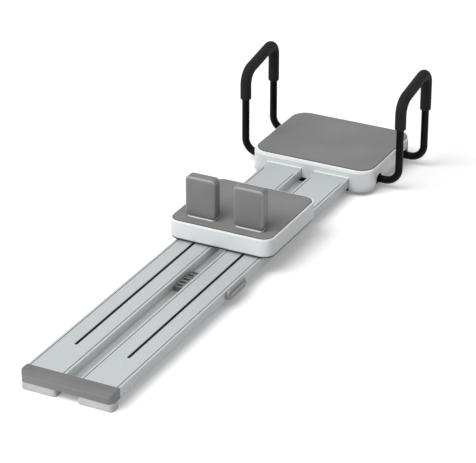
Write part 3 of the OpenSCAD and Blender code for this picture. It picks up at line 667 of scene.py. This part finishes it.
# %% Draw a ring along the loop
def push_ring(shape, edges, step, widen, centre):
    made = bmesh.ops.extrude_edge_only(shape, edges=edges)["geom"]
    ring = [g for g in made if isinstance(g, bmesh.types.BMVert)]
    bmesh.ops.scale(shape, verts=ring, vec=(widen, widen, widen), space=Matrix.Translation(-centre))
    bmesh.ops.translate(shape, verts=ring, vec=step)
    return [g for g in made if isinstance(g, bmesh.types.BMEdge)], centre + step


def straight(shape, edges, centre, direction, length, steps):
    for _ in range(steps):
        edges, centre = push_ring(shape, edges, direction * (length / steps), 1.0, centre)
    return edges, centre


def turn_ring(shape, edges, centre, hub, angle):
    spun = bmesh.ops.spin(shape, geom=edges, cent=hub, axis=(1.0, 0.0, 0.0), angle=angle,
                          steps=BEND_STEPS)
    edges = [g for g in spun["geom_last"] if isinstance(g, bmesh.types.BMEdge)]
    return edges, hub + Matrix.Rotation(angle, 3, "X") @ (centre - hub)


# %% Press creases into the inside of a bend
CREASES = 5
CREASE_DEPTH = 0.0009


def crease_bend(shape, hub, radius, first, total):
    for vert in shape.verts:
        outward = Vector((0.0, vert.co.y - hub.y, vert.co.z - hub.z))
        along = (first - math.atan2(outward.z, outward.y)) / total
        inside = (radius - outward.length) / GRIP_RADIUS
        if 0.0 < along < 1.0 and inside > 0.0:
            wave = 0.5 - 0.5 * math.cos(2 * math.pi * CREASES * along)
            fade = math.sin(math.pi * along)
            vert.co += outward.normalized() * (CREASE_DEPTH * wave * fade * inside ** 2)


# %% One grip
def foam_grip(name, side):
    shape = bmesh.new()
    up = Vector((0.0, 0.0, 1.0))
    centre = Vector((side * LOOP_X, LEG_FRONT_Y, FOAM_LOW_FRONT + DIMPLE))
    bmesh.ops.create_circle(shape, cap_ends=True, segments=RING_POINTS, radius=TUBE_RADIUS * HOLE,
                            matrix=Matrix.Translation(centre))
    edges = list(shape.edges)
    edges, centre = push_ring(shape, edges, up * -DIMPLE, DIMPLE_OUT, centre)
    for rise, widen in END_RINGS:
        edges, centre = push_ring(shape, edges, up * rise, widen, centre)
    radius = max((v.co - centre).length for e in edges for v in e.verts)
    edges, centre = push_ring(shape, edges, up * END_RUN, GRIP_RADIUS / radius, centre)
    leg_end = CORNER_FRONT - RUN_FRONT
    edges, centre = straight(shape, edges, centre, up, leg_end - centre.z, LEG_STEPS)
    front_hub = Vector((centre.x, LEG_FRONT_Y + BEND_FRONT, centre.z))
    edges, centre = turn_ring(shape, edges, centre, front_hub, -TURN_FRONT)
    along = Vector((0.0, math.cos(SLOPE), math.sin(SLOPE)))
    edges, centre = straight(shape, edges, centre, along, BAR, BAR_STEPS)
    back_hub = Vector((centre.x, LEG_BACK_Y - BEND_BACK, CORNER_BACK - RUN_BACK))
    edges, centre = turn_ring(shape, edges, centre, back_hub, -TURN_BACK)
    drop = centre.z - FOAM_LOW_BACK - END_LENGTH
    edges, centre = straight(shape, edges, centre, -up, drop, BACK_STEPS)
    edges, centre = push_ring(shape, edges, up * -END_RUN, 1.0, centre)
    for rise, widen in reversed(END_RINGS):
        edges, centre = push_ring(shape, edges, up * -rise, 1 / widen, centre)
    edges, centre = push_ring(shape, edges, up * DIMPLE, 1 / DIMPLE_IN, centre)
    bmesh.ops.edgeloop_fill(shape, edges=edges)
    bmesh.ops.remove_doubles(shape, verts=shape.verts, dist=TOUCHING)
    crease_bend(shape, front_hub, BEND_FRONT, math.pi, TURN_FRONT)
    crease_bend(shape, back_hub, BEND_BACK, TURN_BACK, TURN_BACK)
    bmesh.ops.recalc_face_normals(shape, faces=shape.faces)
    return smooth_piece(name, shape, black_foam)


for side, word in ((-1, "left"), (1, "right")):
    grip = foam_grip("foam_grip_" + word, side)
    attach(grip, "handle_" + word)
    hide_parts("handle_grip_" + word)
    print(grip.name, "faces:", len(grip.data.polygons))

# %% [markdown]
# ## The shoulder pads
#
# Each shoulder rest is a block of firm foam with a moulded grey skin. Its corners are round, its
# front and back edges are rounded more tightly, and its large faces bulge a little, like a
# cushion. A fine parting line runs round the middle, where the two halves of the mould met. The
# outline is a flat sheet with its corners bevelled, drawn out to a block. Its front and back are
# then inset ring by ring, steeply at first for the round edge and gently after for the bulge.
# The round edges are painted paler, as a painted highlight, most of all along the top, and the
# rear of the pad is painted darker, as painted shade.

# %% The pads' finish
PAD_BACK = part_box("rest_pad_left")[1][1]
PAD_GREY = (0.160, 0.160, 0.158)
PAD_LIGHT = (0.184, 0.184, 0.181)
PAD_GRAIN = (0.126, 0.126, 0.124)
# A painted highlight for the round edges.
PAD_EDGE_HIGHLIGHT = (0.290, 0.290, 0.286)
# Painted shade for the rear of the pad.
PAD_REAR_SHADE = (0.050, 0.050, 0.049)
REAR_SHADE_FROM = (PAD_BACK - 0.0090, PAD_BACK - 0.0050)
ROUND_EDGES = (0.30, 0.96)
TOWARDS_TOP = (-0.2, 0.6)


def pad_finish():
    material, tree, shader = start_material("pad_skin", (0.190, 0.190, 0.187), 0.40)
    leather = cells(tree, 620.0)
    fine = noise(tree, 1500.0, 3.0)
    used = noise(tree, 11.0, 4.0)
    where, faces = position(tree), facing(tree)
    forward = arithmetic(tree, "ABSOLUTE", faces["Y"])
    # Painted highlight: the round edges are painted paler, most of all along the top.
    rubbed_and_highlit = both(tree, between(tree, forward, *ROUND_EDGES, 0.06),
                  spread(tree, faces["Z"], *TOWARDS_TOP, 0.35, 1.0))
    # Painted shade: the rear of the pad is painted darker.
    rear_shade = spread(tree, where["Y"], *REAR_SHADE_FROM, 0.0, 0.75)
    tone = paint(tree, PAD_GREY,
                 (spread(tree, used, 0.35, 0.65), PAD_LIGHT),
                 (spread(tree, leather, 0.0, 0.35, 0.4, 0.0), PAD_GRAIN),
                 (rubbed_and_highlit, PAD_EDGE_HIGHLIGHT),
                 (rear_shade, PAD_REAR_SHADE))
    tree.links.new(tone, shader.inputs["Base Color"])
    vary_roughness(tree, shader, used, 0.34, 0.46)
    height = arithmetic(tree, "ADD", leather, both(tree, fine, 0.3))
    tree.links.new(relief(tree, height, 0.00012), shader.inputs["Normal"])
    return material


grey_pad = pad_finish()
print("made", grey_pad.name)

# %% Sizes of a pad's corners, edges and bulge
PAD_CORNER = 0.0150
CORNER_STEPS = 7
EDGE_STEPS = ((0.0008, 0.0031), (0.0020, 0.0027), (0.0029, 0.0017), (0.0033, 0.0007))
CROWN_STEPS = ((0.88, 0.0006), (0.78, 0.0005), (0.66, 0.0004), (0.45, 0.0002))
CROWN_INSET = 0.0004
QUAD_CORNERS = 4
PARTING = 0.0007
PINCH_ACROSS = 0.985
PINCH_UP = 0.988
ON_LINE = 0.000001


# %% Draw a block with round corners
def block_shape(size, depth):
    shape = bmesh.new()
    upright = Matrix.Rotation(math.pi / 2, 4, "X")
    bmesh.ops.create_grid(shape, x_segments=1, y_segments=1, size=0.5, matrix=upright)
    bmesh.ops.scale(shape, verts=shape.verts, vec=(size.x, 1.0, size.z))
    bmesh.ops.bevel(shape, geom=shape.verts[:], offset=PAD_CORNER, segments=CORNER_STEPS,
                    profile=0.5, affect="VERTICES", material=-1)
    bmesh.ops.translate(shape, verts=shape.verts, vec=(0.0, -depth / 2, 0.0))
    block = bmesh.ops.extrude_face_region(shape, geom=shape.faces[:], use_keep_orig=True)["geom"]
    moved = [g for g in block if isinstance(g, bmesh.types.BMVert)]
    bmesh.ops.translate(shape, verts=moved, vec=(0.0, depth, 0.0))
    bmesh.ops.recalc_face_normals(shape, faces=shape.faces)
    return shape


# %% Round its edges, raise its faces and mark its parting line
def cushion(shape):
    for face in [f for f in shape.faces if len(f.verts) > QUAD_CORNERS]:
        for width, rise in EDGE_STEPS:
            bmesh.ops.inset_individual(shape, faces=[face], thickness=width, depth=rise,
                                       use_even_offset=True)
        for share, rise in CROWN_STEPS:
            bmesh.ops.inset_individual(shape, faces=[face], thickness=CROWN_INSET, depth=rise,
                                       use_even_offset=True)
            middle = Matrix.Translation(-face.calc_center_median())
            bmesh.ops.scale(shape, verts=face.verts[:], vec=(share, 1.0, share), space=middle)


def parting_line(shape):
    for y in (-PARTING, 0.0, PARTING):
        everything = shape.verts[:] + shape.edges[:] + shape.faces[:]
        bmesh.ops.bisect_plane(shape, geom=everything, plane_co=(0.0, y, 0.0),
                               plane_no=(0.0, 1.0, 0.0))
    for vert in [v for v in shape.verts if abs(v.co.y) < ON_LINE]:
        vert.co.x *= PINCH_ACROSS
        vert.co.z *= PINCH_UP


# %% One shoulder pad
def shoulder_pad(name, node):
    low, high = (Vector(c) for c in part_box(node))
    size = high - low
    shape = block_shape(size, size.y - 2 * sum(rise for _, rise in EDGE_STEPS + CROWN_STEPS))
    cushion(shape)
    parting_line(shape)
    bmesh.ops.translate(shape, verts=shape.verts, vec=(low + high) / 2)
    bmesh.ops.recalc_face_normals(shape, faces=shape.faces)
    piece = smooth_piece(name, shape, grey_pad)
    finer = piece.modifiers.new("finer", "SUBSURF")
    finer.levels = 1
    finer.render_levels = 1
    return piece


for word in ("left", "right"):
    pad = shoulder_pad("shoulder_pad_" + word, "rest_pad_" + word)
    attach(pad, "rest_" + word)
    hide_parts("rest_pad_" + word)
    print(pad.name, "faces:", len(pad.data.polygons))

# %% [markdown]
# ## Floor, background and light
#
# The board stands on a seamless white floor. The floor is a pale sheet that catches the soft
# shadow. The camera sees it a little whiter than it is, and away from the board it adds more and
# more light of its own, so that it melts into the white background. That begins at the edge of
# an oval round the board, whose half width and half length are the shadow's reach. One large soft
# lamp hangs in front on the left, and the pale surroundings fill the shaded right sides.

# %% Rays that see the floor and the background directly
def seen_directly(tree):
    path = tree.nodes.new("ShaderNodeLightPath").outputs
    seen = arithmetic(tree, "MAXIMUM", path["Is Camera Ray"], path["Is Glossy Ray"])
    return arithmetic(tree, "MAXIMUM", seen, path["Is Transmission Ray"])


# %% Floor finish
SHEET = (0.80, 0.80, 0.80)
SHEET_SEEN = (0.98, 0.98, 0.98)
WHITE_LIGHT = (1.0, 1.0, 1.0, 1.0)
NEAR_GLOW = 0.18
SHADOW_REACH = (0.60, 1.30)
MELTED_AT = 6.0


def floor_finish():
    material = bpy.data.materials.new("pale_floor")
    material.use_nodes = True
    tree = material.node_tree
    tree.nodes.clear()
    sheet = tree.nodes.new("ShaderNodeBsdfDiffuse")
    glow = tree.nodes.new("ShaderNodeEmission")
    glow.inputs["Color"].default_value = WHITE_LIGHT
    together = tree.nodes.new("ShaderNodeAddShader")
    out = tree.nodes.new("ShaderNodeOutputMaterial")
    seen = seen_directly(tree)
    tree.links.new(blend_colours(tree, seen, SHEET, SHEET_SEEN), sheet.inputs["Color"])
    away = tree.nodes.new("ShaderNodeVectorMath")
    away.operation = "LENGTH"
    around = place(tree, (1 / SHADOW_REACH[0], 1 / SHADOW_REACH[1], 0.0))
    tree.links.new(around, away.inputs[0])
    melting = spread(tree, away.outputs["Value"], 1.0, MELTED_AT, NEAR_GLOW, 1.0)
    tree.links.new(both(tree, seen, melting), glow.inputs["Strength"])
    tree.links.new(sheet.outputs[0], together.inputs[0])
    tree.links.new(glow.outputs[0], together.inputs[1])
    tree.links.new(together.outputs[0], out.inputs["Surface"])
    return material


# %% Lay the floor
FLOOR_SIZE = 14.0
FLOOR_MIDDLE = (0.0, 3.0, -0.0004)

shape = bmesh.new()
bmesh.ops.create_grid(shape, x_segments=1, y_segments=1, size=FLOOR_SIZE)
bmesh.ops.translate(shape, verts=shape.verts, vec=FLOOR_MIDDLE)
floor_mesh = bpy.data.meshes.new("floor")
shape.to_mesh(floor_mesh)
shape.free()
floor_mesh.materials.append(floor_finish())
floor = bpy.data.objects.new("floor", floor_mesh)
bpy.context.collection.objects.link(floor)
print("the floor is laid")

# %% Surroundings
SURROUND = 0.42
world = bpy.data.worlds.new("surroundings")
bpy.context.scene.world = world
world.use_nodes = True
sky = world.node_tree
back = sky.nodes["Background"]
back.inputs["Color"].default_value = WHITE_LIGHT
sky.links.new(spread(sky, seen_directly(sky), 0.0, 1.0, SURROUND, 1.0), back.inputs["Strength"])

# %% The lamp
LAMP_AT = Vector((-3.0, -5.4, 8.8))
LAMP_AIM = Vector((0.0, 0.0, 0.0))
LAMP_SIZE = 8.0
LAMP_POWER = 1000.0

lamp_data = bpy.data.lights.new("key_lamp", "AREA")
lamp_data.shape = "SQUARE"
lamp_data.size = LAMP_SIZE
lamp_data.energy = LAMP_POWER
lamp = bpy.data.objects.new("key_lamp", lamp_data)
lamp.location = LAMP_AT
lamp.rotation_euler = (LAMP_AIM - LAMP_AT).to_track_quat("-Z", "Y").to_euler()
bpy.context.collection.objects.link(lamp)
print("the lamp and the surroundings are set")
